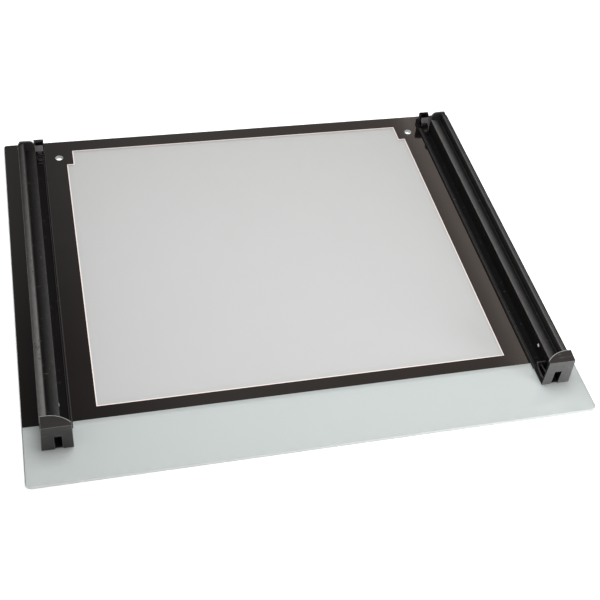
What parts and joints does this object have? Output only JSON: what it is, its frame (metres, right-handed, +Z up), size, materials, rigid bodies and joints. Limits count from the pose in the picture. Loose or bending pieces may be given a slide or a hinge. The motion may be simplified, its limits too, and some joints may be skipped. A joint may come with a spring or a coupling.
{
  "type": "oven door outer glass panel with side rails",
  "caption": "Flat rectangular glass panel with a black printed border round a clear window, two bonded channel rails and slotted end blocks for hinge arms.",
  "frame": {"origin": "middle of the panel's footprint, on the outer glass face it lies on", "axes": "+X across the door, +Y from the clear strip to the edge with the handle holes, +Z up from the outer face towards the oven"},
  "size_m": [0.595, 0.516, 0.0423],
  "materials": {
    "glass": "clear float glass with a faint green tint, polished edge",
    "print": "gloss black fired-on enamel",
    "bond": "black silicone bond line",
    "rail": "black moulded plastic, satin with fine draw lines",
    "block": "black moulded plastic, fine texture",
    "catch": "dark grey moulded plastic",
    "steel": "zinc-plated steel"
  },
  "bodies": {
    "panel": {"glass_pane": "glass", "printed_border": "print", "side_rail_R": "rail", "side_rail_L": "rail", "rail_bond_inner_R": "bond", "rail_bond_inner_L": "bond", "rail_bond_outer_R": "bond", "rail_bond_outer_L": "bond", "end_block_R": "block", "end_block_L": "block", "block_bond_inner_R": "bond", "block_bond_inner_L": "bond", "block_bond_outer_R": "bond", "block_bond_outer_L": "bond", "rail_cap_R": "rail", "rail_cap_L": "rail", "rail_rivet_R": "steel", "rail_rivet_L": "steel", "catch_bracket_R": "block", "catch_bracket_L": "block", "bracket_screw_R": "steel", "bracket_screw_L": "steel"},
    "tongue_right": {"catch_tongue_R": "catch"},
    "tongue_left": {"catch_tongue_L": "catch"}
  },
  "joints": [
    {"name": "catch_flex_right", "type": "hinge", "parent": "panel", "child": "tongue_right", "pos_m": [0.2545, 0.23135, 0.0051], "axis": [1, 0, 0], "range_deg": [0, 10], "stiffness_Nm_per_rad": 0.15},
    {"name": "catch_flex_left", "type": "hinge", "parent": "panel", "child": "tongue_left", "pos_m": [-0.2545, 0.23135, 0.0051], "axis": [1, 0, 0], "range_deg": [0, 10], "stiffness_Nm_per_rad": 0.15}
  ]
}
